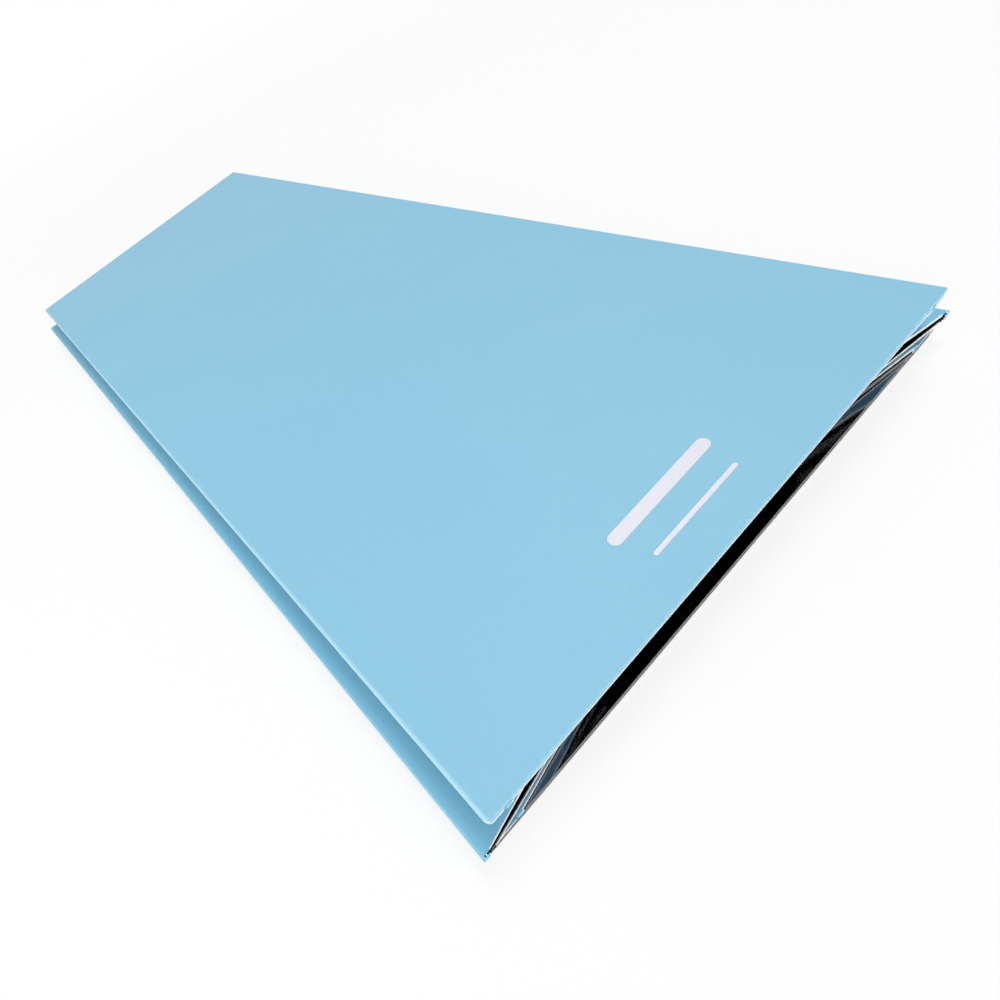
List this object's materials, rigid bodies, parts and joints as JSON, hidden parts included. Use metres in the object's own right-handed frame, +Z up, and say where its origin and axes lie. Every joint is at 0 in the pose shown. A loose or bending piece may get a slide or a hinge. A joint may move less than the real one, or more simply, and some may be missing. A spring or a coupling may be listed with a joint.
{
  "type": "folding uv sanitizer box",
  "caption": "Flat-folding box with two covered panels and pleated side walls, holding an ultraviolet lamp strip and a control unit with a power button.",
  "frame": {"origin": "centre of the footprint of the base panel, at its underside", "axes": "+X along the length of the box towards its open loading end, +Y across it towards the right wall, +Z up through the panels"},
  "size_m": [0.2616, 0.1114, 0.0116],
  "materials": {
    "skin": "fine-grained pale blue covering",
    "board": "off-white board core",
    "lining": "glossy black reflective lining",
    "magnet": "nickel-plated",
    "case": "fine matte black",
    "screw": "plain steel",
    "pcb": "green solder mask",
    "battery": "pouch foil",
    "lead": "red insulation",
    "socket": "plain steel shell",
    "switch": "black moulding",
    "button": "satin pale grey",
    "chip": "black package",
    "led": "pale package",
    "lens": "clear light pipe",
    "cable": "amber flat cable",
    "lamp_board": "white coated aluminium",
    "lamp": "pale ceramic package",
    "window": "clear window"
  },
  "bodies": {
    "base": {"base_skin": "skin", "base_board": "board", "base_lining": "lining", "base_magnets": "magnet"},
    "left_leaf_4": {"left_leaf_4_skin": "skin", "left_leaf_4_board": "board", "left_leaf_4_lining": "lining"},
    "left_leaf_3": {"left_leaf_3_skin": "skin", "left_leaf_3_board": "board", "left_leaf_3_lining": "lining"},
    "left_leaf_2": {"left_leaf_2_skin": "skin", "left_leaf_2_board": "board", "left_leaf_2_lining": "lining"},
    "left_leaf_1": {"left_leaf_1_skin": "skin", "left_leaf_1_board": "board", "left_leaf_1_lining": "lining"},
    "right_leaf_4": {"right_leaf_4_skin": "skin", "right_leaf_4_board": "board", "right_leaf_4_lining": "lining"},
    "right_leaf_3": {"right_leaf_3_skin": "skin", "right_leaf_3_board": "board", "right_leaf_3_lining": "lining"},
    "right_leaf_2": {"right_leaf_2_skin": "skin", "right_leaf_2_board": "board", "right_leaf_2_lining": "lining"},
    "right_leaf_1": {"right_leaf_1_skin": "skin", "right_leaf_1_board": "board", "right_leaf_1_lining": "lining"},
    "top": {"top_skin": "skin", "top_board": "board", "top_lining": "lining", "top_magnets": "magnet", "unit_back_plate": "case", "unit_housing": "case", "unit_screws": "screw", "circuit_board": "pcb", "battery": "battery", "battery_leads": "lead", "charging_socket": "socket", "power_switch": "switch", "fold_sensor": "chip", "control_chip": "chip", "indicator_led": "led", "indicator_lens": "lens", "lamp_cable": "cable", "lamp_board": "lamp_board", "uv_lamps": "lamp", "lamp_window": "window", "lamp_frame": "case"},
    "button": {"power_button": "button"}
  },
  "joints": [
    {"name": "wall_fold", "type": "hinge", "parent": "base", "child": "left_leaf_4", "pos_m": [0, -0.0485, 0.002], "axis": [1, 0, 0], "range_deg": [0, 75]},
    {"name": "left_low_crease", "type": "hinge", "parent": "left_leaf_4", "child": "left_leaf_3", "pos_m": [0, -0.0265, 0.00284], "axis": [1, 0, 0], "range_deg": [-150, 0]},
    {"name": "left_outer_crease", "type": "hinge", "parent": "left_leaf_3", "child": "left_leaf_2", "pos_m": [0, -0.05498, 0.00417], "axis": [1, 0, 0], "range_deg": [0, 150]},
    {"name": "left_high_crease", "type": "hinge", "parent": "left_leaf_2", "child": "left_leaf_1", "pos_m": [0, -0.02663, 0.00714], "axis": [1, 0, 0], "range_deg": [-150, 0]},
    {"name": "left_top_crease", "type": "hinge", "parent": "left_leaf_1", "child": "top", "pos_m": [0, -0.0485, 0.00963], "axis": [1, 0, 0], "range_deg": [0, 75]},
    {"name": "right_base_crease", "type": "hinge", "parent": "base", "child": "right_leaf_4", "pos_m": [0, 0.0485, 0.002], "axis": [1, 0, 0], "range_deg": [-75, 0]},
    {"name": "right_low_crease", "type": "hinge", "parent": "right_leaf_4", "child": "right_leaf_3", "pos_m": [0, 0.0265, 0.00284], "axis": [1, 0, 0], "range_deg": [0, 150]},
    {"name": "right_top_crease", "type": "hinge", "parent": "top", "child": "right_leaf_1", "pos_m": [0, 0.0485, 0.00963], "axis": [1, 0, 0], "range_deg": [0, 75]},
    {"name": "right_high_crease", "type": "hinge", "parent": "right_leaf_1", "child": "right_leaf_2", "pos_m": [0, 0.02663, 0.00714], "axis": [1, 0, 0], "range_deg": [-150, 0]},
    {"name": "button_press", "type": "slide", "parent": "top", "child": "button", "axis": [1, 0, 0], "range_m": [0, 0.0004], "stiffness_N_per_m": 1500, "springref_m": -0.0002}
  ],
  "couplings": [
    {"joint": "left_low_crease", "follows": "wall_fold", "ratio": -2},
    {"joint": "left_outer_crease", "follows": "wall_fold", "ratio": 2},
    {"joint": "left_high_crease", "follows": "wall_fold", "ratio": -2},
    {"joint": "left_top_crease", "follows": "wall_fold", "ratio": 1},
    {"joint": "right_base_crease", "follows": "wall_fold", "ratio": -1},
    {"joint": "right_low_crease", "follows": "wall_fold", "ratio": 2},
    {"joint": "right_top_crease", "follows": "wall_fold", "ratio": 1},
    {"joint": "right_high_crease", "follows": "wall_fold", "ratio": -2}
  ]
}
